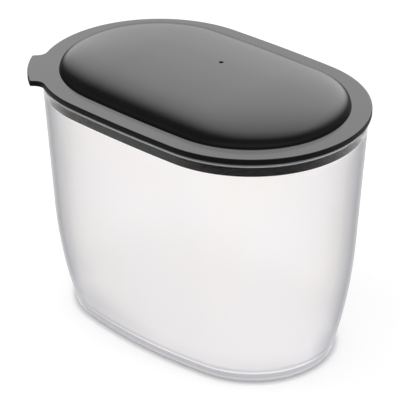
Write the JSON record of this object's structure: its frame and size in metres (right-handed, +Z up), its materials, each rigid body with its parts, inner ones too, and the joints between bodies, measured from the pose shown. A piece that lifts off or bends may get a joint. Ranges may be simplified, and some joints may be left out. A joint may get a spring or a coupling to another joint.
{
  "type": "rice bin",
  "caption": "Oval translucent food bin, tapering to a foot ring, with a domed lift-off lid, a corner lifting tab and a sealed skirt.",
  "frame": {"origin": "centre of the foot, on the surface the bin stands on", "axes": "+X along the bin's length, away from the lifting tab, +Y across its width, away from the tab, +Z up"},
  "size_m": [0.24, 0.16, 0.1915],
  "materials": {
    "tub": "translucent natural polypropylene, glossy outside",
    "lid": "satin charcoal",
    "seal_ring": "matt, soft"
  },
  "bodies": {
    "bin": {"tub": "tub"},
    "lid": {"lid": "lid", "seal_ring": "seal_ring"}
  },
  "joints": [
    {"name": "lid_lift", "type": "slide", "parent": "bin", "child": "lid", "axis": [0, 0, 1], "range_m": [0, 0.18]}
  ]
}
